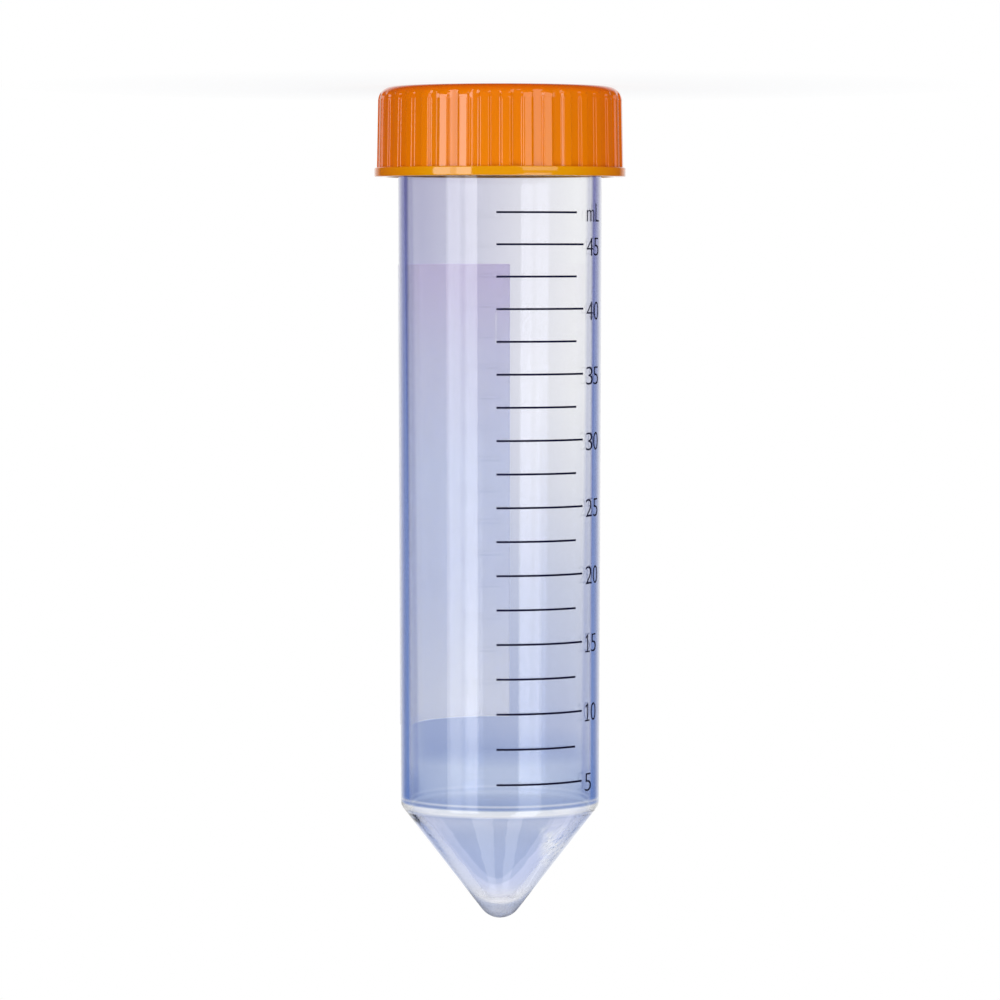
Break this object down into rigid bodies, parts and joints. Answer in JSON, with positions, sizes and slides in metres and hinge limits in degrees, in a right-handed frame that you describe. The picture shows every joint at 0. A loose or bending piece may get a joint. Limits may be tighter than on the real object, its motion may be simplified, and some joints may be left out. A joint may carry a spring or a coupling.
{
  "type": "50 ml conical tube",
  "caption": "Clear conical laboratory tube with a ribbed orange screw cap, a printed volume scale and a frosted writing panel, standing on its cap.",
  "frame": {"origin": "centre of the cap's flat top face, which it stands on", "axes": "+Z along the tube's axis from the cap to the tip; -Y towards the side where the scale begins; right-handed thread"},
  "size_m": [0.0352, 0.0352, 0.117],
  "materials": {
    "cap_plastic": "moulded, glossy",
    "clear_plastic": "clear, glossy",
    "dark_ink": "printed",
    "white_ink": "printed, frosted"
  },
  "bodies": {
    "cap": {"cap": "cap_plastic"},
    "tube": {"tube": "clear_plastic", "scale_marks": "dark_ink", "writing_panel": "white_ink"}
  },
  "joints": [
    {"name": "lift_out_of_cap", "type": "slide", "parent": "cap", "child": "tube", "axis": [0, 0, 1], "range_m": [0, 0.03]}
  ]
}
